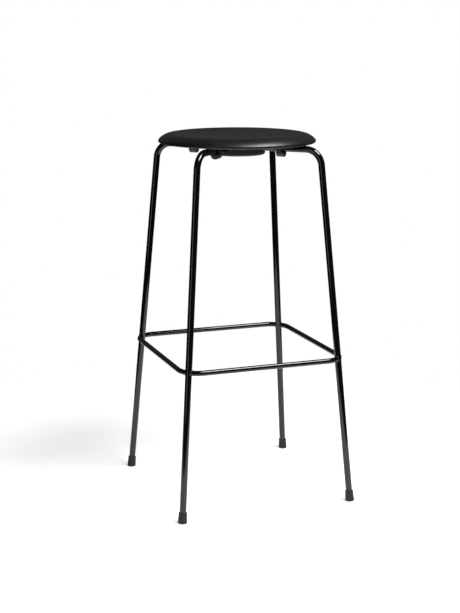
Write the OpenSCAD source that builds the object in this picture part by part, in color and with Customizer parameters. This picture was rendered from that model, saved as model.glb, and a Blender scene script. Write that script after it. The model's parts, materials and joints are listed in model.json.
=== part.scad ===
// Bar stool with footrest: four bent steel tubes carry a round, dished, upholstered seat
// and are tied together by a square footrest of round bar.
// Millimetres, +Z up, floor at Z = 0, stool axis on Z, front at -Y, legs on the diagonals.

/* [Seat] */
// Height of the highest ring of the seat above the floor
seat_height = 778.4; // [698.4:1:818.4]
// Widest diameter of the seat
seat_d = 333.4; // [329.4:0.4:341.4]
// Diameter of the highest ring, where the dish turns into the outer roll
crest_d = 277; // [268:1:282]
// Depth of the dish at the middle of the seat
dish = 4.5; // [3.5:0.5:5]
// Drop from the highest ring to the widest line of the rim
rim_drop = 15.5; // [15:0.1:16.5]
// Rounding of the rim above its widest line
rim_upper_r = 4.6; // [4:0.2:6]
// Rounding of the rim below its widest line
rim_lower_r = 3.4; // [3.4:0.1:4]
// Thickness of the leather
leather_t = 1.2; // [1:0.1:1.2]
// Thickness of the foam between leather and core
foam_t = 2; // [1.5:0.1:2]
// Width of the leather turned in under the rim
turn_under = 30; // [24:1:36]

/* [Legs] */
// Outside diameter of the leg tube
tube_d = 14; // [13:0.5:15]
// Wall thickness of the leg tube
tube_wall = 2; // [1.5:0.1:2.5]
// Growth of the bore where the tube is bent
bend_thinning = 0.3; // [0.3:0.05:0.5]
// Loss of outside diameter where the tube is bent
bend_draw = 0.3; // [0.3:0.05:0.5]
// Outward lean of a leg, in degrees
leg_lean = 6.06; // [5.5:0.02:6.6]
// Distance from the stool axis to the axis of a leg at the floor
foot_reach = 268.2; // [262:0.2:274]
// Radius of the bend under the seat, on the axis of the tube
bend_r = 35; // [30:1:38]
// Distance from the stool axis to the inner end of a tube
tube_start = 14; // [12:1:18]
// Gap between the rim of the seat and the tubes
rim_gap = 2.1; // [1.9:0.1:2.3]

/* [Footrest] */
// Height of the footrest bars above the floor, on their axes
footrest_height = 312; // [240:1:400]
// Diameter of the footrest bar
bar_d = 11; // [10:0.5:12]
// Radius of the footrest's corners, on the axis of the bar
corner_r = 42; // [34:1:50]
// Length of a weld bead along the bar
weld_run = 3; // [2:0.5:4]
// Height of a weld bead on the bar
weld_rise = 1; // [0.8:0.1:1.4]

/* [Hub] */
// Thickness of the steel plate that the tubes are welded to
plate_t = 4; // [3.5:0.5:5]
// Diameter of the steel plate
plate_d = 104; // [98:1:110]
// Diameter of the moulded hub cover
cover_d = 119.4; // [117:0.2:122]
// Lowest point of the hub cover, below the axes of the tubes
cover_depth = 16.3; // [15:0.1:18]
// Rounding of the hub cover's lower edge
cover_edge_r = 4.5; // [3.5:0.5:5]
// Wall thickness of the hub cover
cover_wall = 2.2; // [1.8:0.1:2.6]
// Clearance where a moulded part snaps over a tube
snap_gap = 0.25; // [0.1:0.05:0.5]
// Mouth of a snap notch, as a part of the tube diameter
snap_mouth = 0.88; // [0.8:0.01:0.94]

/* [Fasteners] */
// Nominal diameter of the screws that hold the seat
screw_d = 6; // [5:1:6]
// Diameter of the circle that the screws lie on
screw_circle_d = 76; // [72:1:80]
// Outside diameter of the threaded inserts in the core
insert_d = 9; // [8.5:0.5:10]
// Depth of the threaded inserts in the core
insert_depth = 7; // [6:0.5:7]

/* [Spacers] */
// Distance from the stool axis to the middle of a spacer
spacer_reach = 101.4; // [90:0.2:115]
// Length of a spacer along its tube
spacer_l = 16; // [14:0.5:20]
// Length that the upper collar is cut back on its outer side
spacer_step = 4; // [3:0.5:5]
// Width of a spacer across its tube
spacer_w = 20; // [18.5:0.5:22]
// Lowest point of a spacer, below the axis of the tube
spacer_depth = 17.8; // [16:0.2:18.4]

/* [Feet] */
// Diameter of a foot cap at its upper edge
foot_top_d = 17.2; // [16.6:0.1:18]
// Diameter of a foot cap at the floor
foot_base_d = 19.3; // [18.6:0.1:21]
// Length of a foot cap along the leg
foot_l = 22.6; // [20:0.2:26]
// Thickness of the sole under the tube
sole_t = 5; // [4:0.5:6]
// Thickness of the steel disc that keeps the tube from cutting the sole
disc_t = 1.5; // [1:0.1:2]

/* [Hidden] */
$fn = 96;
skip = 0.01;

// seat levels and arcs
rim_z = seat_height - rim_drop;
seat_bottom_z = rim_z - rim_lower_r;
seat_r = seat_d / 2;
crest_r = crest_d / 2;
upper_x = seat_r - rim_upper_r;
lower_x = seat_r - rim_lower_r;
roll_run = upper_x - crest_r;
roll_r = (roll_run ^ 2 + rim_drop ^ 2 - rim_upper_r ^ 2) / (2 * (rim_drop - rim_upper_r));
roll_z = seat_height - roll_r;
dish_r = (crest_r ^ 2 + dish ^ 2) / (2 * dish) - roll_r;
dish_z = seat_height - dish + dish_r;
dish_edge_z = roll_z + roll_r * (dish_z - roll_z) / (dish_r + roll_r);

// tube levels and the underside of the seat
run_z = seat_bottom_z - rim_gap - tube_d / 2;
plate_z = run_z + tube_d / 2;
underside_z = plate_z + plate_t;
core_z = underside_z + leather_t;
rim_foot_w = 14;
recess_r = lower_x - rim_foot_w;
turn_end_r = lower_x - turn_under;

// leg path: the run under the seat meets the lean at the bend
bend_overlap = 0.5;
function leg_reach(z) = foot_reach - z * tan(leg_lean);
bend_turn = 90 - leg_lean;
bend_x = leg_reach(run_z) - bend_r * tan(bend_turn / 2);
bend_z = run_z - bend_r;
lower_l = (bend_z + bend_r * sin(leg_lean)) / cos(leg_lean) - sole_t;

// footrest corners: each arc passes through the axis of its leg
footrest_reach = leg_reach(footrest_height);
corner_c = (footrest_reach - corner_r) / sqrt(2);
bar_offset = corner_c + corner_r;

// seat fasteners
washer_t = 1.2;
washer_d = 2 * screw_d + 1;
screw_head_d = 2 * screw_d - 1;
screw_head_h = 3.4;
screw_end_z = core_z + insert_depth - 1;
socket_d = 0.65 * screw_d;
socket_depth = 2;
plate_hole_d = screw_d + 0.6;

// fillet welds between the tubes and the plate
hub_weld_w = 1.5;
hub_weld_h = 3.5;
hub_weld_root = 3;
hub_weld_start = tube_start + 6;
hub_weld_l = plate_d / 2 - 4 - hub_weld_start;

// moulded parts
cover_top_z = underside_z - 0.5;
collar_clear = 1;
foot_edge_r = 1.2;
foot_lip = 0.5;

corners = [["front_left", 225], ["front_right", 315], ["back_right", 45], ["back_left", 135]];
sides = [["front", 270], ["right", 0], ["back", 90], ["left", 180]];

// ---- seat ----

// Half section of the seat's outside, moved inwards by inset: the dish, the crest and
// outer roll, and the rim's upper and lower roundings.
module seat_half(inset) {
    difference() {
        union() {
            translate([0, seat_bottom_z + inset])
                square([lower_x, rim_lower_r - inset + skip]);
            translate([0, rim_z])
                square([crest_r, dish_edge_z - inset - rim_z]);
            intersection() {
                translate([crest_r, roll_z])
                    circle(roll_r - inset, $fn = 360);
                polygon([
                    [crest_r, roll_z],
                    [upper_x, rim_z],
                    [upper_x + roll_run, 2 * rim_z - roll_z],
                    [crest_r * (1 - roll_r / (roll_r + dish_r)), dish_edge_z + skip],
                    [crest_r * (1 - roll_r / (roll_r + dish_r)), rim_z]
                ]);
                translate([0, rim_z])
                    square([seat_r, rim_drop + skip]);
            }
            intersection() {
                translate([upper_x, rim_z])
                    circle(rim_upper_r - inset);
                translate([0, rim_z])
                    square([seat_r, rim_upper_r]);
            }
            intersection() {
                translate([lower_x, rim_z])
                    circle(rim_lower_r - inset);
                translate([0, rim_z - rim_lower_r])
                    square([seat_r, rim_lower_r + skip]);
            }
        }
        translate([0, dish_z])
            circle(dish_r + inset, $fn = 720);
        translate([-seat_r, 0])
            square([seat_r, seat_height]);
    }
}

// The hollow under the seat, whose sloping side moves into the seat by inset.
module underside_hollow(inset) {
    slope_sum = recess_r + seat_bottom_z + inset * sqrt(2);
    top = underside_z + inset;
    polygon([
        [-skip, seat_bottom_z - rim_lower_r],
        [slope_sum - seat_bottom_z + rim_lower_r, seat_bottom_z - rim_lower_r],
        [slope_sum - top, top],
        [-skip, top]
    ]);
}

module seat_section(inset) {
    difference() {
        seat_half(inset);
        underside_hollow(inset);
    }
}

// Leather drawn over the foam, round the rim and in under the seat.
module seat_leather() {
    color("#1b1b1c")
    rotate_extrude()
    difference() {
        seat_section(0);
        seat_section(leather_t);
        square([turn_end_r, core_z + skip]);
    }
}

// Thin foam over the top of the core, down to the widest line of the rim.
module seat_foam() {
    color("#c9b98f")
    rotate_extrude()
    difference() {
        seat_half(leather_t);
        seat_half(leather_t + foam_t);
        square([seat_r, rim_z]);
    }
}

// Moulded beech veneer core, with blind holes for the threaded inserts.
module seat_core() {
    color("#b98f5c")
    difference() {
        rotate_extrude()
        difference() {
            union() {
                seat_half(leather_t + foam_t);
                intersection() {
                    seat_half(leather_t);
                    square([seat_r, rim_z]);
                }
            }
            underside_hollow(leather_t);
        }
        at_screws()
            translate([0, 0, core_z - 1])
                cylinder(d = insert_d, h = insert_depth + 1);
    }
}

// Felt liner that closes the underside inside the turned-in leather.
module seat_liner() {
    color("#232323")
    difference() {
        translate([0, 0, underside_z])
            cylinder(r = turn_end_r, h = leather_t);
        at_screws()
            translate([0, 0, underside_z - 1])
                cylinder(d = insert_d, h = leather_t + 2);
    }
}

// ---- seat fasteners, between the tubes ----

module at_screws() {
    for (s = sides)
        rotate([0, 0, s[1]])
            translate([screw_circle_d / 2, 0, 0])
                children();
}

module seat_inserts() {
    color("#b8963e")
    at_screws()
        translate([0, 0, core_z])
            difference() {
                cylinder(d = insert_d, h = insert_depth);
                translate([0, 0, -1])
                    cylinder(d = screw_d, h = insert_depth + 2);
            }
}

module seat_screws() {
    color("#a9adb2")
    at_screws()
        difference() {
            union() {
                translate([0, 0, plate_z - washer_t - skip])
                    cylinder(d = screw_d, h = screw_end_z - plate_z + washer_t);
                translate([0, 0, plate_z - washer_t - screw_head_h])
                    cylinder(d = screw_head_d, h = screw_head_h);
            }
            translate([0, 0, plate_z - washer_t - screw_head_h - 1])
                cylinder(d = socket_d, h = socket_depth + 1, $fn = 6);
        }
}

module seat_washers() {
    color("#9a9ea3")
    at_screws()
        translate([0, 0, plate_z - washer_t])
            difference() {
                cylinder(d = washer_d, h = washer_t);
                translate([0, 0, -1])
                    cylinder(d = plate_hole_d, h = washer_t + 2);
            }
}

// ---- hub ----

module hub_plate() {
    color("#161617")
    translate([0, 0, plate_z])
        difference() {
            cylinder(d = plate_d, h = plate_t);
            at_screws()
                translate([0, 0, -1])
                    cylinder(d = plate_hole_d, h = plate_t + 2);
        }
}

// Fillet welds along both sides of every tube, under the plate.
module hub_welds() {
    color("#161617")
    for (c = corners, side = [0, 1])
        rotate([0, 0, c[1]])
            translate([hub_weld_start, 0, run_z])
                rotate([90, 0, 90])
                    linear_extrude(hub_weld_l)
                        mirror([side, 0])
                            difference() {
                                polygon([
                                    [tube_d / 2 - hub_weld_root, tube_d / 2],
                                    [tube_d / 2 + hub_weld_w, tube_d / 2],
                                    [tube_d / 2 + 0.2, tube_d / 2 - hub_weld_h],
                                    [tube_d / 2 - hub_weld_root, tube_d / 2 - hub_weld_h]
                                ]);
                                circle(d = tube_d);
                            }
}

// Notch that snaps over a tube: a round seat with a narrower mouth above it.
module snap_notch(length) {
    notch_d = tube_d + 2 * snap_gap;
    rotate([90, 0, 90])
        linear_extrude(length) {
            circle(d = notch_d);
            translate([-snap_mouth * tube_d / 2, 0])
                square([snap_mouth * tube_d, tube_d * 2]);
        }
}

// Moulded cup that snaps on to the four tubes and hides the plate and the screws.
module hub_cover() {
    cover_r = cover_d / 2;
    bottom = run_z - cover_depth;
    color("#202021")
    difference() {
        rotate_extrude()
        difference() {
            cup_half(cover_r, bottom, cover_edge_r);
            cup_half(cover_r - cover_wall, bottom + cover_wall, cover_edge_r - cover_wall);
        }
        for (c = corners)
            rotate([0, 0, c[1]])
                translate([plate_d / 2, 0, run_z])
                    snap_notch(cover_r);
    }
}

module cup_half(r, bottom, edge_r) {
    translate([0, bottom])
        square([r - edge_r, cover_top_z - bottom]);
    translate([0, bottom + edge_r])
        square([r, cover_top_z - bottom - edge_r]);
    translate([r - edge_r, bottom + edge_r])
        intersection() {
            circle(edge_r);
            translate([0, -edge_r])
                square(edge_r);
        }
}

// ---- legs ----

// The three stretches of a leg's path, as solid round bar of diameter d. The straight
// ones reach a little into the bend, and past their free end by open.
module leg_run(d, open = 0) {
    translate([bend_overlap, bend_r, 0])
        rotate([0, -90, 0])
            cylinder(d = d, h = bend_x - tube_start + bend_overlap + open);
}

module leg_bend(d) {
    rotate_extrude(angle = bend_turn, start = leg_lean)
        translate([bend_r, 0])
            circle(d = d);
}

module leg_lower(d, open = 0) {
    rotate([0, 0, leg_lean])
        translate([bend_r, bend_overlap, 0])
            rotate([90, 0, 0])
                cylinder(d = d, h = lower_l + bend_overlap + open);
}

// One leg, bent from a single length of tube; bending draws the tube a little thinner.
module leg(azimuth) {
    bore_d = tube_d - 2 * tube_wall;
    color("#121213")
    rotate([0, 0, azimuth])
        translate([bend_x, 0, bend_z])
            rotate([90, 0, 0])
                difference() {
                    union() {
                        leg_run(tube_d);
                        leg_bend(tube_d - bend_draw);
                        leg_lower(tube_d);
                    }
                    leg_bend(bore_d + bend_thinning);
                    leg_run(bore_d, 1);
                    leg_lower(bore_d, 1);
                }
}

// Places children on the axis of a leg, with +Z up the leg from the end of the tube.
module on_leg_end(azimuth) {
    end_z = sole_t * cos(leg_lean);
    rotate([0, 0, azimuth])
        translate([leg_reach(end_z), 0, end_z])
            rotate([0, -leg_lean, 0])
                children();
}

// ---- footrest ----

module leg_solid(azimuth) {
    on_leg_end(azimuth)
        cylinder(d = tube_d, h = footrest_height * 1.5);
}

// Half of one rounded corner of the footrest, from a straight bar to the leg's axis,
// carrying a round section; turn is the part of a right angle that the arc covers.
module corner_arc(from, turn) {
    translate([corner_c, 0, 0])
        rotate([0, 0, from])
            rotate_extrude(angle = turn, $fn = 180)
                translate([corner_r, 0])
                    children();
}

// One bar: a straight side with half a corner at each end, shaped to fit the legs.
module footrest_bar(azimuth) {
    color("#121213")
    difference() {
        rotate([0, 0, azimuth])
            translate([0, 0, footrest_height]) {
                translate([bar_offset, corner_c, 0])
                    rotate([90, 0, 0])
                        cylinder(d = bar_d, h = 2 * corner_c);
                translate([0, corner_c, 0])
                    corner_arc(0, 45)
                        circle(d = bar_d);
                translate([0, -corner_c, 0])
                    corner_arc(-45, 45)
                        circle(d = bar_d);
            }
        for (side = [-45, 45])
            leg_solid(azimuth + side);
    }
}

// Two weld beads, one on each bar, where the bars meet a leg.
module footrest_weld(azimuth) {
    bead_angle = (tube_d / 2 + weld_run) * 180 / (PI * corner_r);
    free_angle = 5;
    color("#121213")
    difference() {
        rotate([0, 0, azimuth - 45])
            translate([0, corner_c, footrest_height])
                for (from = [45 - bead_angle, 45 + free_angle])
                    corner_arc(from, bead_angle - free_angle)
                        difference() {
                            circle(d = bar_d + 2 * weld_rise);
                            circle(d = bar_d);
                        }
        leg_solid(azimuth);
    }
}

// ---- moulded parts on the tubes ----

// Spacer that snaps over the run of a tube and carries the seat: a round-bottomed body
// with a shorter collar that reaches up to the seat.
module seat_spacer(azimuth) {
    round_z = run_z - spacer_depth + spacer_w / 2;
    shoulder_z = run_z - tube_d / 2 - collar_clear;
    color("#202021")
    difference() {
        rotate([0, 0, azimuth])
            translate([spacer_reach - spacer_l / 2, 0, 0])
                rotate([90, 0, 90]) {
                    linear_extrude(spacer_l)
                        intersection() {
                            spacer_face(round_z);
                            translate([-spacer_w, 0])
                                square([2 * spacer_w, shoulder_z]);
                        }
                    linear_extrude(spacer_l - spacer_step)
                        spacer_face(round_z);
                }
        rotate([0, 0, azimuth])
            translate([0, 0, run_z])
                snap_notch(2 * spacer_reach);
    }
}

module spacer_face(round_z) {
    translate([0, round_z])
        circle(d = spacer_w);
    translate([-spacer_w / 2, round_z])
        square([spacer_w, underside_z - round_z]);
}

// Steel disc in the foot cap, under the end of the tube.
module foot_disc(azimuth) {
    color("#9a9ea3")
    on_leg_end(azimuth)
        translate([0, 0, -disc_t])
            cylinder(d = tube_d, h = disc_t);
}

// Moulded foot cap, coaxial with the leg and cut level where it stands on the floor.
module foot_cap(azimuth) {
    color("#1d1d1e")
    difference() {
        on_leg_end(azimuth)
            translate([0, 0, -sole_t])
                rotate_extrude()
                    difference() {
                        polygon([
                            [0, 0],
                            [foot_base_d / 2 - foot_edge_r, 0],
                            [foot_base_d / 2, foot_edge_r],
                            [foot_top_d / 2, foot_l - 2 * foot_lip],
                            [foot_top_d / 2 - foot_lip, foot_l],
                            [0, foot_l]
                        ]);
                        translate([0, sole_t - disc_t])
                            square([tube_d / 2, foot_l]);
                    }
        rotate([0, 0, azimuth])
            translate([foot_reach - foot_base_d, -foot_base_d, -foot_base_d])
                cube([2 * foot_base_d, 2 * foot_base_d, foot_base_d]);
    }
}

// ---- the stool ----

seat_leather();
seat_foam();
seat_core();
seat_liner();
seat_inserts();
seat_screws();
seat_washers();
hub_plate();
hub_welds();
hub_cover();
for (s = sides)
    footrest_bar(s[1]);
for (c = corners) {
    leg(c[1]);
    footrest_weld(c[1]);
    seat_spacer(c[1]);
    foot_disc(c[1]);
    foot_cap(c[1]);
}
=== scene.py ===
import json
from math import asin, atan2, cos, pi, radians, sin, sqrt, tan

import bmesh
import bpy
from mathutils import Matrix, Vector, noise


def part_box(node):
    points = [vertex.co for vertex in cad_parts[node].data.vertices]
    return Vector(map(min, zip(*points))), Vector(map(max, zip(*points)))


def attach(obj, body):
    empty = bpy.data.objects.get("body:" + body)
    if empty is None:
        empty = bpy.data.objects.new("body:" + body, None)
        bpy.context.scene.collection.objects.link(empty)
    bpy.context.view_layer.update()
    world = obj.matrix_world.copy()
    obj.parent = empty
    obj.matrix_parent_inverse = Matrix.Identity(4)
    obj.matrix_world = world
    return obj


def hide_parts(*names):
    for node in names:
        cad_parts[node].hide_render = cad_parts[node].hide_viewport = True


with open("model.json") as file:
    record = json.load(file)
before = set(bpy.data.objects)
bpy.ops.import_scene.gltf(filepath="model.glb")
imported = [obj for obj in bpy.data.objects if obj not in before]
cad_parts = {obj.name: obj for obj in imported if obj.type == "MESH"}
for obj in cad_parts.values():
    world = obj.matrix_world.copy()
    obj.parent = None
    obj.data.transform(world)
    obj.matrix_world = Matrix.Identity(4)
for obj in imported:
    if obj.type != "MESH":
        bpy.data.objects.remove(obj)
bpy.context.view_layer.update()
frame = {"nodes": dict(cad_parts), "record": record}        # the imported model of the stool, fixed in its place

corners = {"front_left": 225, "front_right": 315, "back_right": 45, "back_left": 135}
sides = {"front": 270, "right": 0, "back": 90, "left": 180}

# the camera stands low, to the left of the stool's front
cameraSet = {
    "azimuth": 20.18,       # degrees round from the front
    "elevation": 12.54,
    "distance": 2.8739,
    "aimHeight": 0.4028,
    "aimRight": -0.01473,
    "lens": 77.69,
    "farthest": 60,
}


def placeCamera(values):
    turn, rise = radians(values["azimuth"]), radians(values["elevation"])
    right = Vector((cos(turn), -sin(turn), 0))
    forward = Vector((sin(turn) * cos(rise), cos(turn) * cos(rise), -sin(rise)))
    aim = Vector((0, 0, values["aimHeight"])) + right * values["aimRight"]
    data = bpy.data.cameras.new("studioCamera")
    data.lens = values["lens"]
    data.clip_end = values["farthest"]
    camera = bpy.data.objects.new("studioCamera", data)
    camera.location = aim - forward * values["distance"]
    camera.rotation_euler = forward.to_track_quat("-Z", "Y").to_euler()
    bpy.context.scene.collection.objects.link(camera)
    bpy.context.scene.camera = camera


placeCamera(cameraSet)
print("camera placed")


def linearColour(code):
    parts = [int(code[i:i + 2], 16) / 255 for i in (1, 3, 5)]
    return [c / 12.92 if c <= 0.04045 else ((c + 0.055) / 1.055) ** 2.4 for c in parts] + [1]


# a new node with its settings; an input is either a value or another node's output
def addNode(tree, kind, settings=None, inputs=None):
    node = tree.nodes.new(kind)
    for name, value in (settings or {}).items():
        setattr(node, name, value)
    for name, value in (inputs or {}).items():
        if isinstance(value, bpy.types.NodeSocket):
            tree.links.new(value, node.inputs[name])
        else:
            node.inputs[name].default_value = value
    return node


def newMaterial(name, shader):
    material = bpy.data.materials.new(name)
    material.use_nodes = True
    tree = material.node_tree
    surface = tree.nodes["Principled BSDF"]
    for socket, value in shader.items():
        surface.inputs[socket].default_value = value
    place = addNode(tree, "ShaderNodeTexCoord").outputs["Object"]
    return material, tree, surface, place


def addNoise(tree, place, scale, detail, distortion=0.0):
    values = {"Vector": place, "Scale": scale, "Detail": detail, "Distortion": distortion}
    return addNode(tree, "ShaderNodeTexNoise", inputs=values).outputs["Fac"]


def remap(tree, value, fromRange, toRange):
    return addNode(tree, "ShaderNodeMapRange", inputs={
        "Value": value, "From Min": fromRange[0], "From Max": fromRange[1],
        "To Min": toRange[0], "To Max": toRange[1]}).outputs["Result"]


def combine(tree, operation, first, second):
    return addNode(tree, "ShaderNodeMath", {"operation": operation}, {0: first, 1: second}).outputs["Value"]


def colourSurface(tree, surface, factor, first, second, socket="Base Color"):
    ramp = addNode(tree, "ShaderNodeValToRGB", inputs={"Fac": factor})
    ramp.color_ramp.elements[0].color = linearColour(first)
    ramp.color_ramp.elements[1].color = linearColour(second)
    tree.links.new(ramp.outputs["Color"], surface.inputs[socket])


def bumpSurface(tree, surface, height, strength, distance):
    bump = addNode(tree, "ShaderNodeBump", inputs={
        "Height": height, "Strength": strength, "Distance": distance})
    tree.links.new(bump.outputs["Normal"], surface.inputs["Normal"])


# polyester powder coat, gloss, baked on steel: near black, mirror-like with a faint orange peel
def glossCoat():
    material, tree, surface, place = newMaterial("glossBlackPowderCoat", {"IOR": 1.52})
    peel = addNoise(tree, place, 420, 2)    # 2.4 mm peel
    dust = addNoise(tree, place, 35, 6)
    wipe = remap(tree, dust, (0.35, 0.7), (0.07, 0.12))
    tree.links.new(wipe, surface.inputs["Roughness"])
    colourSurface(tree, surface, dust, "#070708", "#0b0b0c")
    bumpSurface(tree, surface, peel, 0.03, 0.0001)
    return material


# pigmented calf leather, pressed smooth: satin black, fine pebbles and slight patchiness
def calfLeather():
    material, tree, surface, place = newMaterial("smoothBlackLeather", {"IOR": 1.5})
    pebbles = addNode(tree, "ShaderNodeTexVoronoi", {"feature": "SMOOTH_F1"},
                      {"Vector": place, "Scale": 900, "Smoothness": 0.6})    # 1.1 mm pebbles
    creases = addNoise(tree, place, 260, 5, 0.4)
    patches = addNoise(tree, place, 14, 4)
    sheen = remap(tree, patches, (0.3, 0.7), (0.33, 0.4))
    tree.links.new(sheen, surface.inputs["Roughness"])
    colourSurface(tree, surface, patches, "#0f0f10", "#151414")
    bumpSurface(tree, surface, combine(tree, "ADD", pebbles.outputs["Distance"], creases), 0.14, 0.0004)
    return material


# injection-moulded glass-filled polyamide with a spark-eroded grain: dull black
def mouldedPolyamide():
    material, tree, surface, place = newMaterial("mouldedBlackPolyamide", {"IOR": 1.53})
    spark = addNoise(tree, place, 1600, 3)    # 0.6 mm grain
    flow = addNoise(tree, place, 60, 3)
    tree.links.new(remap(tree, flow, (0, 1), (0.44, 0.58)), surface.inputs["Roughness"])
    colourSurface(tree, surface, flow, "#363637", "#404041")
    bumpSurface(tree, surface, spark, 0.08, 0.0002)
    return material


# compression-moulded rubber: dull, with a trace of bloom and floor dust near the sole
def mouldedRubber():
    material, tree, surface, place = newMaterial("mouldedBlackRubber", {"IOR": 1.5, "Roughness": 0.7})
    bloom = addNoise(tree, place, 180, 6)
    height = addNode(tree, "ShaderNodeSeparateXYZ", inputs={"Vector": place})
    low = remap(tree, height.outputs["Z"], (0, 0.006), (0.9, 0.3))    # dust on the lowest 6 mm
    colourSurface(tree, surface, combine(tree, "MULTIPLY", bloom, low), "#191919", "#2b2a29")
    bumpSurface(tree, surface, bloom, 0.15, 0.0003)
    return material


# needle-punched polyester felt: matt, fibrous
def needleFelt():
    material, tree, surface, place = newMaterial(
        "blackNeedleFelt", {"Roughness": 0.95, "Sheen Weight": 0.35, "Sheen Roughness": 0.5})
    fibres = addNoise(tree, place, 1100, 8, 2.5)
    colourSurface(tree, surface, fibres, "#101011", "#29292a")
    bumpSurface(tree, surface, fibres, 0.6, 0.0005)
    return material


# bright zinc plating on cold-headed steel: pale grey, slightly blue, with patches of bloom
def brightZinc():
    material, tree, surface, place = newMaterial("brightZincSteel", {"Metallic": 1.0})
    bloom = addNoise(tree, place, 300, 5)
    tree.links.new(remap(tree, bloom, (0, 1), (0.22, 0.42)), surface.inputs["Roughness"])
    colourSurface(tree, surface, bloom, "#a4a9b0", "#c2c6cc")
    return material


# free-turning brass: warm yellow, faint turning marks
def turnedBrass():
    material, tree, surface, place = newMaterial("turnedBrass", {"Metallic": 1.0, "Roughness": 0.28})
    marks = addNode(tree, "ShaderNodeTexWave", {"bands_direction": "Z"},
                    {"Vector": place, "Scale": 900, "Distortion": 1})
    colourSurface(tree, surface, marks.outputs["Fac"], "#b58f3a", "#c9a552")
    return material


# pressed beech veneer, raw: pale brown with fine straight grain
def beechVeneer():
    material, tree, surface, place = newMaterial("rawBeechVeneer", {"Roughness": 0.62})
    along = addNode(tree, "ShaderNodeMapping", inputs={"Vector": place, "Scale": (1, 14, 1)})
    grain = addNoise(tree, along.outputs["Vector"], 60, 8)
    colourSurface(tree, surface, grain, "#a97b4b", "#cfa473")
    bumpSurface(tree, surface, grain, 0.2, 0.0003)
    return material


# bonded polyurethane foam: pale, open cells
def bondedFoam():
    material, tree, surface, place = newMaterial("bondedSeatFoam", {"Roughness": 0.95})
    cells = addNode(tree, "ShaderNodeTexVoronoi", inputs={"Vector": place, "Scale": 700})
    colourSurface(tree, surface, cells.outputs["Distance"], "#8f8263", "#d6c79c")
    bumpSurface(tree, surface, cells.outputs["Distance"], 0.8, 0.0006)
    return material


# bonded polyester thread: black, lightly waxed
def waxedThread():
    material, tree, surface, place = newMaterial("blackWaxedThread", {"Roughness": 0.5, "Sheen Weight": 0.2})
    twist = addNode(tree, "ShaderNodeTexWave", inputs={"Vector": place, "Scale": 1200, "Distortion": 2})
    colourSurface(tree, surface, twist.outputs["Fac"], "#121212", "#2e2e2f")
    return material


# opal acrylic of a light table, lit from below: even white, faintly cloudy
def opalAcrylic():
    material, tree, surface, place = newMaterial("opalTableAcrylic", {
        "IOR": 1.49, "Roughness": 0.85, "Specular IOR Level": 0.1, "Emission Strength": 0.6})
    cloud = addNoise(tree, place, 3, 4)
    colourSurface(tree, surface, cloud, "#e6e6e5", "#f0f0ef")
    colourSurface(tree, surface, cloud, "#fbfbfb", "#ffffff", "Emission Color")
    return material


coat, thread, acrylic = glossCoat(), waxedThread(), opalAcrylic()
finishes = {
    "frame_paint": coat,
    "seat_leather": calfLeather(),
    "moulded_black": mouldedPolyamide(),
    "foot_rubber": mouldedRubber(),
    "felt_liner": needleFelt(),
    "zinc_steel": brightZinc(),
    "brass_insert": turnedBrass(),
    "veneer_core": beechVeneer(),
    "seat_foam": bondedFoam(),
}
for part in frame["record"]["subparts"]:
    node = frame["nodes"][part["node"]]
    node.data.materials.clear()
    node.data.materials.append(finishes[part["material_slot"]])
print("materials made")


def newPiece(name, mesh, slotName, replaced=(), sharpAngle=35):
    mesh.name = name
    mesh.shade_smooth()
    mesh.set_sharp_from_angle(angle=radians(sharpAngle))
    piece = bpy.data.objects.new(name, mesh)
    bpy.context.scene.collection.objects.link(piece)
    if not mesh.materials:
        mesh.materials.append(finishes[slotName])
    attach(piece, "root")
    if replaced:
        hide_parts(*replaced)
    return piece


def meshFrom(shape, name):
    mesh = bpy.data.meshes.new(name)
    shape.to_mesh(mesh)
    shape.free()
    return mesh


# a line of (radius, height) points turned round Z; it starts and ends on the axis, in a pole
def lathe(name, outline, segments):
    shape = bmesh.new()
    turns = [2 * pi * i / segments for i in range(segments)]
    rings = []
    for radius, height in outline:
        if radius < 1e-7:    # on the axis
            rings.append([shape.verts.new((0, 0, height))])
        else:
            rings.append([shape.verts.new((radius * cos(turn), radius * sin(turn), height))
                          for turn in turns])
    for low, high in zip(rings, rings[1:]):
        for i in range(segments):
            j = (i + 1) % segments
            if len(low) == 1:
                shape.faces.new((low[0], high[i], high[j]))
            elif len(high) == 1:
                shape.faces.new((low[i], high[0], low[j]))
            else:
                shape.faces.new((low[i], high[i], high[j], low[j]))
    bmesh.ops.recalc_face_normals(shape, faces=shape.faces)
    return meshFrom(shape, name)


def arc(centreX, centreY, radius, start, end, steps):
    return [(centreX + radius * cos(start + (end - start) * i / steps),
             centreY + radius * sin(start + (end - start) * i / steps)) for i in range(steps + 1)]


def newTree(name, inputs):
    tree = bpy.data.node_groups.new(name, "GeometryNodeTree")
    tree.interface.new_socket("Geometry", in_out="INPUT", socket_type="NodeSocketGeometry")
    tree.interface.new_socket("Geometry", in_out="OUTPUT", socket_type="NodeSocketGeometry")
    for label, kind in inputs.items():
        tree.interface.new_socket(label, in_out="INPUT", socket_type=kind)
    tree.interface.new_socket("Material", in_out="INPUT", socket_type="NodeSocketMaterial")
    return tree, addNode(tree, "NodeGroupInput").outputs


def endTree(tree, given, geometry):
    real = addNode(tree, "GeometryNodeRealizeInstances", inputs={"Geometry": geometry})
    finish = addNode(tree, "GeometryNodeSetMaterial", inputs={
        "Geometry": real.outputs["Geometry"], "Material": given["Material"]})
    addNode(tree, "NodeGroupOutput", inputs={"Geometry": finish.outputs["Geometry"]})
    return tree


# a round section of the given radius swept along a curve
def sweep(tree, curve, radius, sides, caps):
    ring = addNode(tree, "GeometryNodeCurvePrimitiveCircle", inputs={"Resolution": sides, "Radius": radius})
    swept = addNode(tree, "GeometryNodeCurveToMesh", inputs={
        "Curve": curve, "Profile Curve": ring.outputs["Curve"], "Fill Caps": caps})
    return swept.outputs["Mesh"]


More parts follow.
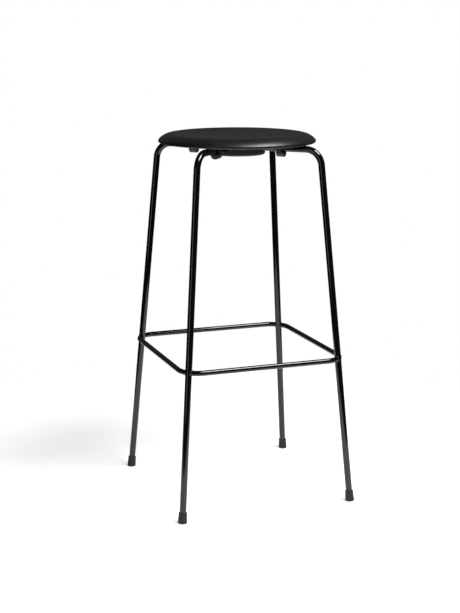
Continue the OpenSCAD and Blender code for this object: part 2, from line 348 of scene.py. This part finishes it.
# round bar swept along a line of vertices
def roundBarTree():
    tree, given = newTree("roundBar", {"Radius": "NodeSocketFloat", "Sides": "NodeSocketInt"})
    line = addNode(tree, "GeometryNodeMeshToCurve", inputs={"Mesh": given["Geometry"]})
    return endTree(tree, given, sweep(tree, line.outputs["Curve"], given["Radius"], given["Sides"], True))


# weld bead laid along a closed line of vertices, with the ripples that each pool of metal leaves
def weldTree():
    tree, given = newTree("weldBead", {"Radius": "NodeSocketFloat", "Ripples": "NodeSocketFloat",
                                       "Ripple depth": "NodeSocketFloat", "Sides": "NodeSocketInt"})
    line = addNode(tree, "GeometryNodeMeshToCurve", inputs={"Mesh": given["Geometry"]})
    along = addNode(tree, "GeometryNodeSplineParameter")
    turns = combine(tree, "MULTIPLY", along.outputs["Factor"], given["Ripples"])
    angle = combine(tree, "MULTIPLY", turns, 2 * pi)
    wave = addNode(tree, "ShaderNodeMath", {"operation": "SINE"}, {0: angle})
    swell = addNode(tree, "ShaderNodeMath", {"operation": "MULTIPLY_ADD"},
                    {0: wave.outputs["Value"], 1: given["Ripple depth"], 2: 1.0})
    sized = addNode(tree, "GeometryNodeSetCurveRadius", inputs={
        "Curve": line.outputs["Curve"], "Radius": swell.outputs["Value"]})
    return endTree(tree, given, sweep(tree, sized.outputs["Curve"], given["Radius"], given["Sides"], False))


# a ring of short stitches, each a shallow arch of thread
def stitchTree():
    tree, given = newTree("stitchRing", {
        "Ring radius": "NodeSocketFloat", "Height": "NodeSocketFloat", "Count": "NodeSocketInt",
        "Stitch length": "NodeSocketFloat", "Thread radius": "NodeSocketFloat",
        "Wander": "NodeSocketFloat", "Seed": "NodeSocketInt"})
    ring = addNode(tree, "GeometryNodeCurvePrimitiveCircle", inputs={
        "Resolution": given["Count"], "Radius": given["Ring radius"]})
    points = addNode(tree, "GeometryNodeCurveToPoints", {"mode": "COUNT"}, {
        "Curve": ring.outputs["Curve"], "Count": given["Count"]})
    lift = addNode(tree, "ShaderNodeCombineXYZ", inputs={"Z": given["Height"]})
    raised = addNode(tree, "GeometryNodeSetPosition", inputs={
        "Geometry": points.outputs["Points"], "Offset": lift.outputs["Vector"]})
    back = combine(tree, "MULTIPLY", given["Stitch length"], -0.5)
    ahead = combine(tree, "MULTIPLY", given["Stitch length"], 0.5)
    start = addNode(tree, "ShaderNodeCombineXYZ", inputs={"Z": back})
    end = addNode(tree, "ShaderNodeCombineXYZ", inputs={"Z": ahead})
    middle = addNode(tree, "ShaderNodeCombineXYZ", inputs={"Y": given["Thread radius"]})
    archSteps, threadSides = 5, 6
    arch = addNode(tree, "GeometryNodeCurveQuadraticBezier", inputs={
        "Resolution": archSteps, "Start": start.outputs["Vector"], "Middle": middle.outputs["Vector"],
        "End": end.outputs["Vector"]})
    stitch = sweep(tree, arch.outputs["Curve"], given["Thread radius"], threadSides, True)
    slant = addNode(tree, "FunctionNodeRandomValue", {"data_type": "FLOAT"}, {"Seed": given["Seed"]})
    slant.inputs["Min"].default_value = -1
    wander = combine(tree, "MULTIPLY", slant.outputs[1], given["Wander"])
    tilt = addNode(tree, "ShaderNodeCombineXYZ", inputs={"Y": wander})
    placed = addNode(tree, "GeometryNodeInstanceOnPoints", inputs={
        "Points": raised.outputs["Geometry"], "Instance": stitch, "Rotation": points.outputs["Rotation"]})
    turned = addNode(tree, "GeometryNodeRotateInstances", inputs={
        "Instances": placed.outputs["Instances"], "Rotation": tilt.outputs["Vector"]})
    return endTree(tree, given, turned.outputs["Instances"])


def newObject(name, mesh):
    made = bpy.data.objects.new(name, mesh)
    bpy.context.scene.collection.objects.link(made)
    return made


# the plain mesh that an object's modifiers make; the object and its helpers are removed
def takeMesh(host, helpers=()):
    bpy.context.view_layer.update()
    mesh = bpy.data.meshes.new_from_object(host.evaluated_get(bpy.context.evaluated_depsgraph_get()))
    for made in [host, *helpers]:
        bpy.data.objects.remove(made)
    return mesh


# runs a tree on a line of vertices and gives back the mesh that it makes
def grow(name, points, tree, values, closed=False):
    line = bpy.data.meshes.new(name + "Line")
    edges = [(i, i + 1) for i in range(len(points) - 1)] + ([(len(points) - 1, 0)] if closed else [])
    line.from_pydata(points, edges, [])
    host = newObject(name + "Host", line)
    modifier = host.modifiers.new("grow", "NODES")
    modifier.node_group = tree
    for item in tree.interface.items_tree:
        if item.in_out == "INPUT" and item.name in values:
            modifier[item.identifier] = values[item.name]
    return takeMesh(host)


roundBar, weldBead, stitchRing = roundBarTree(), weldTree(), stitchTree()


def onDiagonal(azimuth, reach, across, height):
    turn = radians(azimuth)
    return Vector((reach * cos(turn) - across * sin(turn), reach * sin(turn) + across * cos(turn), height))


legSet = {
    "tubeRadius": 0.007,
    "lean": radians(6.06),
    "bend": 0.035,          # radius of the bend, on the tube's axis
    "start": 0.014,         # inner end of the tube, from the stool's axis
    "bendSteps": 40,
    "lowerSteps": 24,
    "sides": 56,
}
legLow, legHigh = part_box("leg_front_left")
runHeight = legHigh.z - legSet["tubeRadius"]
discLow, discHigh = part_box("foot_disc_back_right")
discCentre = (discLow + discHigh) / 2
footReach = sqrt(discCentre.x ** 2 + discCentre.y ** 2) + discCentre.z * tan(legSet["lean"])


# distance from the stool's axis to the leg's axis at a height
def legReach(height):
    return footReach - height * tan(legSet["lean"])


def legLine(azimuth):
    bend, lean, steps = legSet["bend"], legSet["lean"], legSet["lowerSteps"]
    bendX = legReach(runHeight) - bend * tan((pi / 2 - lean) / 2)
    endHeight = legLow.z + legSet["tubeRadius"] * sin(lean)
    flat = [(legSet["start"], runHeight)]
    flat += arc(bendX, runHeight - bend, bend, pi / 2, lean, legSet["bendSteps"])
    bendEnd = flat[-1][1]
    heights = [bendEnd + (endHeight - bendEnd) * i / steps for i in range(1, steps + 1)]
    flat += [(legReach(height), height) for height in heights]
    return [onDiagonal(azimuth, reach, 0, height) for reach, height in flat]


for corner, azimuth in corners.items():
    name = "leg_" + corner
    mesh = grow(name, legLine(azimuth), roundBar,
                {"Radius": legSet["tubeRadius"], "Sides": legSet["sides"], "Material": coat})
    newPiece(name + "_tube", mesh, "frame_paint", [name])
print("legs made")


footrestSet = {
    "barRadius": 0.0055,
    "corner": 0.042,        # radius of the corners, on the bar's axis
    "cornerSteps": 20,
    "sides": 48,
    "inLeg": 0.0045,        # where the bar starts, from the leg's axis
    "beadRadius": 0.0013,
    "beadSides": 12,
    "beadSteps": 72,        # points round one bead
    "searchFrom": 0.03,     # angle along the corner where the search for the leg begins
    "halvings": 40,
    "probe": 1e-4,          # small angle that gives the bar's direction
    "ripples": 15.0,
    "rippleDepth": 0.16,
}
barLow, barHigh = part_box("footrest_bar_front")
barHeight = (barLow.z + barHigh.z) / 2
barOffset = -barLow.y - footrestSet["barRadius"]
cornerCentre = barOffset - footrestSet["corner"]


# a point on a bar's line: angle runs round the corner from the end of the straight side
def footrestPoint(azimuth, side, angle):
    radius = footrestSet["corner"]
    turn = radians(azimuth)
    out = cornerCentre + radius * cos(angle)
    along = side * (cornerCentre + radius * sin(angle))
    return Vector((out * cos(turn) - along * sin(turn), out * sin(turn) + along * cos(turn), barHeight))


def barLine(azimuth):
    first = pi / 4 - footrestSet["inLeg"] / footrestSet["corner"]
    steps = footrestSet["cornerSteps"]
    half = [first * (1 - i / steps) for i in range(steps + 1)]
    return ([footrestPoint(azimuth, -1, angle) for angle in half]
            + [footrestPoint(azimuth, 1, angle) for angle in reversed(half)])


# the closed line where a bar meets its leg, found by halving along each line of the bar's skin
def meetingLine(azimuth, side):
    s = footrestSet
    legAzimuth = azimuth + 45 * side
    foot = onDiagonal(legAzimuth, legReach(0), 0, 0)
    axis = (onDiagonal(legAzimuth, legReach(1), 0, 1) - foot).normalized()
    points = []
    for i in range(s["beadSteps"]):
        around = 2 * pi * i / s["beadSteps"]
        near, far = s["searchFrom"], pi / 4
        for _ in range(s["halvings"]):
            angle = (near + far) / 2
            centre = footrestPoint(azimuth, side, angle)
            ahead = footrestPoint(azimuth, side, angle + s["probe"]) - centre
            sideways = Vector((ahead.y, -ahead.x, 0)).normalized()
            point = centre + s["barRadius"] * (sideways * cos(around) + Vector((0, 0, 1)) * sin(around))
            gap = (point - foot).cross(axis).length - legSet["tubeRadius"]
            near, far = (angle, far) if gap > 0 else (near, angle)
        points.append(point)
    return points


def joinMeshes(name, meshes):
    shape = bmesh.new()
    for mesh in meshes:
        shape.from_mesh(mesh)
    return meshFrom(shape, name)


for side, azimuth in sides.items():
    name = "footrest_bar_" + side
    mesh = grow(name, barLine(azimuth), roundBar,
                {"Radius": footrestSet["barRadius"], "Sides": footrestSet["sides"], "Material": coat})
    newPiece(name + "_rod", mesh, "frame_paint", [name])

beadValues = {
    "Radius": footrestSet["beadRadius"],
    "Ripples": footrestSet["ripples"],
    "Ripple depth": footrestSet["rippleDepth"],
    "Sides": footrestSet["beadSides"],
    "Material": coat,
}
for corner, azimuth in corners.items():
    name = "footrest_weld_" + corner
    beads = [grow(name, meetingLine(azimuth - 45 * side, side), weldBead, beadValues, closed=True)
             for side in (-1, 1)]
    newPiece(name + "_beads", joinMeshes(name, beads), "frame_paint", [name], 180)
print("footrest made")


seatSet = {
    "crest": 0.1385,        # radius of the highest ring
    "dish": 0.0045,
    "rimDrop": 0.0155,
    "upperEdge": 0.0046,
    "lowerEdge": 0.0034,
    "leather": 0.0012,
    "recess": 0.0140,       # from the lower edge's centre in to the sloping side
    "turnUnder": 0.030,
    "segments": 320,
    "dishSteps": 44,
    "rollSteps": 30,
    "edgeSteps": 12,
    "flatSteps": 6,
    "creaseRun": 0.001,     # softening of the two folds on the underside
    "creaseEase": 0.00005,
    "creaseRise": 0.0003,
    "pleats": 54,
    "pleatDepth": 0.00035,
    "pleatWander": 5,       # how unevenly the pleats are spaced
    "pleatFade": 0.02,
    "slack": 0.00012,       # unevenness of the foam under the leather
    "slackScale": 28,
    "slackFade": 0.004,
}
seatLow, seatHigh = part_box("seat_leather")
linerLow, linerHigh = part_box("seat_liner")


# the seat's skin moved inwards by inset, as (radius, height) points from the middle of the top,
# over the rim, to the edge that is turned in
def seatOutline(inset):
    radius, top, s = seatHigh.x, seatHigh.z, seatSet
    rimZ = top - s["rimDrop"]
    upperX, lowerX = radius - s["upperEdge"], radius - s["lowerEdge"]
    run = upperX - s["crest"]
    rollR = (run ** 2 + s["rimDrop"] ** 2 - s["upperEdge"] ** 2) / (2 * (s["rimDrop"] - s["upperEdge"]))
    rollZ = top - rollR
    dishR = (s["crest"] ** 2 + s["dish"] ** 2) / (2 * s["dish"]) - rollR
    dishZ = top - s["dish"] + dishR
    inward = atan2(dishZ - rollZ, -s["crest"])
    outward = atan2(rimZ - rollZ, run)
    points = arc(0, dishZ, dishR + inset, -pi / 2, inward - pi, s["dishSteps"])
    points += arc(s["crest"], rollZ, rollR - inset, inward, outward, s["rollSteps"])[1:]
    points += arc(upperX, rimZ, s["upperEdge"] - inset, outward, 0, s["edgeSteps"])[1:]
    points += arc(lowerX, rimZ, s["lowerEdge"] - inset, 0, -pi / 2, s["edgeSteps"])[1:]
    # the flat under the rim, the slope up into the seat, and the ledge under the liner
    steps = s["flatSteps"]
    ledge = linerLow.z + inset
    foot = lowerX - s["recess"] + inset * sqrt(2) - inset
    bottom = seatLow.z + inset
    slope = ledge - bottom
    end = lowerX - s["turnUnder"]
    points += [(lowerX + (foot - lowerX) * i / steps, bottom) for i in range(1, steps)]
    points += [(foot + s["creaseRun"], bottom + s["creaseEase"]), (foot, bottom + s["creaseRise"])]
    points += [(foot - slope * i / steps, bottom + slope * i / steps) for i in range(1, steps)]
    inner = foot - slope
    points += [(inner, ledge - s["creaseRise"]), (inner - s["creaseRun"], ledge - s["creaseEase"])]
    points += [(inner + (end - foot + slope) * i / steps, ledge) for i in range(2, steps + 1)]
    return points


def makeSeatCover():
    s = seatSet
    mesh = lathe("seat_cover", seatOutline(0) + seatOutline(s["leather"])[::-1], s["segments"])
    top, low, scale = seatHigh.z, seatLow.z, s["slackScale"]
    for vertex in mesh.vertices:
        co = vertex.co
        radius, turn = sqrt(co.x ** 2 + co.y ** 2), atan2(co.y, co.x)
        if co.z > top - s["rimDrop"]:
            fade = min(1, (co.z - top + s["rimDrop"]) / s["slackFade"])
            co.z += fade * s["slack"] * noise.noise(Vector((co.x * scale, co.y * scale, 0.4)))
        elif radius < seatHigh.x - s["lowerEdge"]:
            fade = min(1, (seatHigh.x - s["lowerEdge"] - radius) / s["pleatFade"])
            wave = noise.noise(Vector((cos(turn), sin(turn), 0.3)) * s["pleats"] / 6)
            pleat = (0.5 + 0.5 * sin(turn * s["pleats"] + s["pleatWander"] * wave)) * (0.6 + wave)
            co.z = max(co.z + fade * s["pleatDepth"] * pleat, low)
    return newPiece("seat_cover", mesh, "seat_leather", ["seat_leather"], 180)


seatCover = makeSeatCover()

linerSet = {
    "overlap": 0.0048,      # the felt laps over the turned-in leather
    "drop": 0.0007,
    "thin": 0.00002,        # what is left between the lap and the leather
    "slopeStart": 0.005,    # where the felt starts down to its lap, in from the turned-in edge
    "slopeMost": 0.002,     # where it is most of the way down
    "lapEdge": 0.0006,
    "lapRound": 0.0003,
    "innerRound": 0.0004,
    "steps": 14,
    "segments": 192,
    "stitchPitch": 0.0042,
    "stitchLength": 0.0030,
    "threadRadius": 0.00028,
    "stitchInset": 0.0018,
    "wander": 0.04,
    "seed": 3,
}


def makeLiner():
    s = linerSet
    edge, low, high, drop = linerHigh.x, linerLow.z, linerHigh.z, s["drop"]
    lap = edge + s["overlap"]
    outline = [(0, low)] + [(edge * i / s["steps"], low) for i in range(1, s["steps"] - 1)]
    outline += [(edge - s["slopeStart"], low), (edge - s["slopeMost"], low - drop * 0.6), (edge, low - drop)]
    outline += [(lap - s["lapEdge"], low - drop), (lap, low - drop + s["lapRound"]), (lap, low - s["thin"])]
    outline += [(edge, low - s["thin"]), (edge - s["innerRound"], high), (edge * 0.5, high), (0, high)]
    newPiece("seat_liner_felt", lathe("seat_liner", outline, s["segments"]), "felt_liner", ["seat_liner"])


def makeStitches():
    s = linerSet
    radius = linerHigh.x + s["overlap"] - s["stitchInset"]
    values = {
        "Ring radius": radius,
        "Height": linerLow.z - s["drop"],
        "Count": round(2 * pi * radius / s["stitchPitch"]),
        "Stitch length": s["stitchLength"],
        "Thread radius": s["threadRadius"],
        "Wander": s["wander"],
        "Seed": s["seed"],
        "Material": thread,
    }
    mesh = grow("stitches", [(0, 0, 0)], stitchRing, values)
    newPiece("seat_liner_stitches", mesh, "felt_liner", (), 180)


makeLiner()
makeStitches()
print("seat made")


hubSet = {
    "wall": 0.0022,
    "edge": 0.0045,
    "edgeSteps": 12,
    "lip": 0.0005,
    "panelRadius": 0.041,   # shallow round panel in the middle of the underside
    "panelDepth": 0.0006,
    "panelSlope": 0.0008,
    "panelFrame": 0.006,
    "snapGap": 0.00025,
    "mouth": 0.88,
    "notchSteps": 40,
    "notchHigh": 0.03,
    "notchIn": 0.012,       # the notch runs from this far inside the wall
    "notchOut": 0.01,
    "segments": 192,
}


def boolCut(mesh, cutters):
    target = newObject("cutTarget", mesh)
    tools = []
    for number, cutter in enumerate(cutters):
        tool = newObject(f"cutTool{number}", cutter)
        modifier = target.modifiers.new("cut", "BOOLEAN")
        modifier.operation, modifier.solver, modifier.object = "DIFFERENCE", "EXACT", tool
        tools.append(tool)
    return takeMesh(target, tools)


# a snap notch along a tube's run: round below, narrower above
def notchMesh(azimuth, near, far):
    radius = legSet["tubeRadius"] + hubSet["snapGap"]
    mouth = hubSet["mouth"] * legSet["tubeRadius"]
    begin = asin(mouth / radius)
    section = arc(0, 0, radius, pi / 2 - begin, begin - 3 * pi / 2, hubSet["notchSteps"])
    section += [(-mouth, hubSet["notchHigh"]), (mouth, hubSet["notchHigh"])]
    shape = bmesh.new()
    ends = [[shape.verts.new(onDiagonal(azimuth, reach, x, runHeight + z)) for x, z in section]
            for reach in (near, far)]
    shape.faces.new(ends[0])
    shape.faces.new(ends[1][::-1])
    for i in range(len(section)):
        j = (i + 1) % len(section)
        shape.faces.new((ends[0][i], ends[1][i], ends[1][j], ends[0][j]))
    bmesh.ops.recalc_face_normals(shape, faces=shape.faces)
    return meshFrom(shape, "notch")


def makeHubCover():
    s = hubSet
    low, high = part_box("hub_cover")
    radius, wall, edge, panel = high.x, s["wall"], s["edge"], s["panelRadius"]
    panelZ = low.z + s["panelDepth"]
    outline = [(0, panelZ), (panel * 0.5, panelZ), (panel - s["panelSlope"], panelZ), (panel, low.z)]
    outline += [(panel + s["panelFrame"], low.z)]
    outline += arc(radius - edge, low.z + edge, edge, -pi / 2, 0, s["edgeSteps"])
    outline += [(radius, high.z - s["lip"]), (radius - s["lip"], high.z), (radius - wall, high.z)]
    outline += arc(radius - edge, low.z + edge, edge - wall, 0, -pi / 2, s["edgeSteps"] // 2)
    outline += [(panel, low.z + wall), (0, low.z + wall)]
    cup = lathe("hub_cover", outline, s["segments"])
    near, far = radius - s["notchIn"], radius + s["notchOut"]
    cuts = [notchMesh(azimuth, near, far) for azimuth in corners.values()]
    newPiece("hub_cover_cup", boolCut(cup, cuts), "moulded_black", ["hub_cover"], 30)


makeHubCover()

spacerSet = {
    "edge": 0.0007,         # rounding that the mould leaves on every edge
    "edgeSteps": 3,
    "edgeAngle": 40,        # only edges sharper than this are rounded
}


# the CAD spacer with its edges rounded over
def makeSpacer(corner):
    name = "seat_spacer_" + corner
    shape = bmesh.new()
    shape.from_mesh(frame["nodes"][name].data)
    bmesh.ops.remove_doubles(shape, verts=shape.verts, dist=1e-6)
    bmesh.ops.dissolve_limit(shape, angle_limit=radians(1), verts=shape.verts, edges=shape.edges)
    holder = newObject("bevelHolder", meshFrom(shape, name + "_clip"))
    modifier = holder.modifiers.new("edges", "BEVEL")
    modifier.width, modifier.segments = spacerSet["edge"], spacerSet["edgeSteps"]
    modifier.limit_method, modifier.angle_limit = "ANGLE", radians(spacerSet["edgeAngle"])
    modifier.use_clamp_overlap = True
    modifier.miter_outer = "MITER_ARC"
    newPiece(name + "_clip", takeMesh(holder), "moulded_black", [name], 40)


for corner in corners:
    makeSpacer(corner)

footSet = {
    "topRadius": 0.0086,
    "baseRadius": 0.00965,
    "length": 0.0226,
    "sole": 0.005,
    "disc": 0.0015,
    "edge": 0.0012,
    "edgeSteps": 6,
    "bodySteps": 8,
    "collar": 0.0014,       # height of the collar at the mouth
    "collarOut": 0.0003,
    "collarRound": 0.0004,
    "mouthGap": 0.0001,
    "mouthRound": 0.0002,
    "segments": 96,
}


def makeFoot(corner, azimuth):
    s = footSet
    tube, edge, length = legSet["tubeRadius"], s["edge"], s["length"]
    top, base, steps = s["topRadius"], s["baseRadius"], s["bodySteps"]
    body, seat = length - s["collar"], s["sole"] - s["disc"]
    outline = [(0, 0)]
    outline += arc(base - edge, edge, edge, -pi / 2, 0, s["edgeSteps"])
    outline += [(base + (top - base) * i / steps, edge + (body - edge) * i / steps)
                for i in range(1, steps + 1)]
    outline += arc(top + s["collarOut"] - s["collarRound"], length - s["collarRound"], s["collarRound"],
                   -pi / 3, pi / 2, s["edgeSteps"])
    outline += [(tube + s["mouthGap"], length), (tube, length - s["mouthRound"]), (tube, seat), (0, seat)]
    mesh = lathe("foot", outline, s["segments"])
    atFoot = Matrix.Rotation(radians(azimuth), 4, "Z") @ Matrix.Translation(Vector((footReach, 0, 0)))
    mesh.transform(atFoot @ Matrix.Rotation(-legSet["lean"], 4, "Y"))
    for vertex in mesh.vertices:
        vertex.co.z = max(vertex.co.z, 0)     # the sole is ground level with the floor
    newPiece("foot_cap_" + corner + "_boot", mesh, "foot_rubber", ["foot_cap_" + corner], 40)


for corner, azimuth in corners.items():
    makeFoot(corner, azimuth)
print("moulded parts made")


studioSet = {
    "tableRadius": 0.95,
    "tableSides": 128,
    "tableDrop": 0.0002,    # the soles rest on the table without sharing its surface
    "overhead": {"place": (0.8, -1.1, 2.8), "aim": (0, 0, 0.5), "size": (1.6, 1.0), "power": 108},
    "sideStrip": {"place": (-1.9, -1.25, 0.75), "aim": (0, 0, 0.75), "size": (0.45, 1.5), "power": 5},
    "roomFront": 0.018,     # grey of the room on the camera's side, and of the wall behind
    "roomBack": 0.08,
    "wallWay": (0.45, 0.89, 0.0),
    "wallFull": 0.95,       # how squarely a ray must meet the wall to see its full grey
}


def softbox(name, values):
    data = bpy.data.lights.new(name, "AREA")
    data.shape = "RECTANGLE"
    data.size, data.size_y = values["size"]
    data.energy = values["power"]
    lamp = newObject(name, data)
    lamp.location = values["place"]
    beam = Vector(values["aim"]) - Vector(values["place"])
    lamp.rotation_euler = beam.to_track_quat("-Z", "Y").to_euler()
    lamp.visible_camera = False


def makeTable():
    shape = bmesh.new()
    bmesh.ops.create_circle(shape, cap_ends=True, segments=studioSet["tableSides"],
                            radius=studioSet["tableRadius"])
    mesh = meshFrom(shape, "studioFloor")
    mesh.materials.append(acrylic)
    floor = newObject("studioFloor", mesh)
    floor.location.z = -studioSet["tableDrop"]


# white for the camera; for all else a dark room, which keeps the black coat black, with a paler
# wall behind, which gives the seat's top its grey
def makeRoom():
    world = bpy.data.worlds.new("studioWorld")
    world.use_nodes = True
    tree = world.node_tree
    tree.nodes.clear()
    rays = addNode(tree, "ShaderNodeLightPath")
    white = addNode(tree, "ShaderNodeBackground", inputs={"Color": (1, 1, 1, 1), "Strength": 1.0})
    facing = addNode(tree, "ShaderNodeTexCoord").outputs["Generated"]
    toward = addNode(tree, "ShaderNodeVectorMath", {"operation": "DOT_PRODUCT"},
                     {0: facing, 1: studioSet["wallWay"]})
    grey = addNode(tree, "ShaderNodeMapRange", {"interpolation_type": "SMOOTHSTEP"}, {
        "Value": toward.outputs["Value"], "From Min": 0.0, "From Max": studioSet["wallFull"],
        "To Min": studioSet["roomFront"], "To Max": studioSet["roomBack"]})
    dim = addNode(tree, "ShaderNodeBackground", inputs={
        "Color": (1, 1, 1, 1), "Strength": grey.outputs["Result"]})
    mix = addNode(tree, "ShaderNodeMixShader", inputs={
        0: rays.outputs["Is Camera Ray"], 1: dim.outputs[0], 2: white.outputs[0]})
    addNode(tree, "ShaderNodeOutputWorld", inputs={"Surface": mix.outputs[0]})
    bpy.context.scene.world = world


makeTable()
softbox("overheadSoftbox", studioSet["overhead"])
softbox("sideStrip", studioSet["sideStrip"])
makeRoom()
bpy.context.scene.view_settings.view_transform = "Standard"
print("studio made")
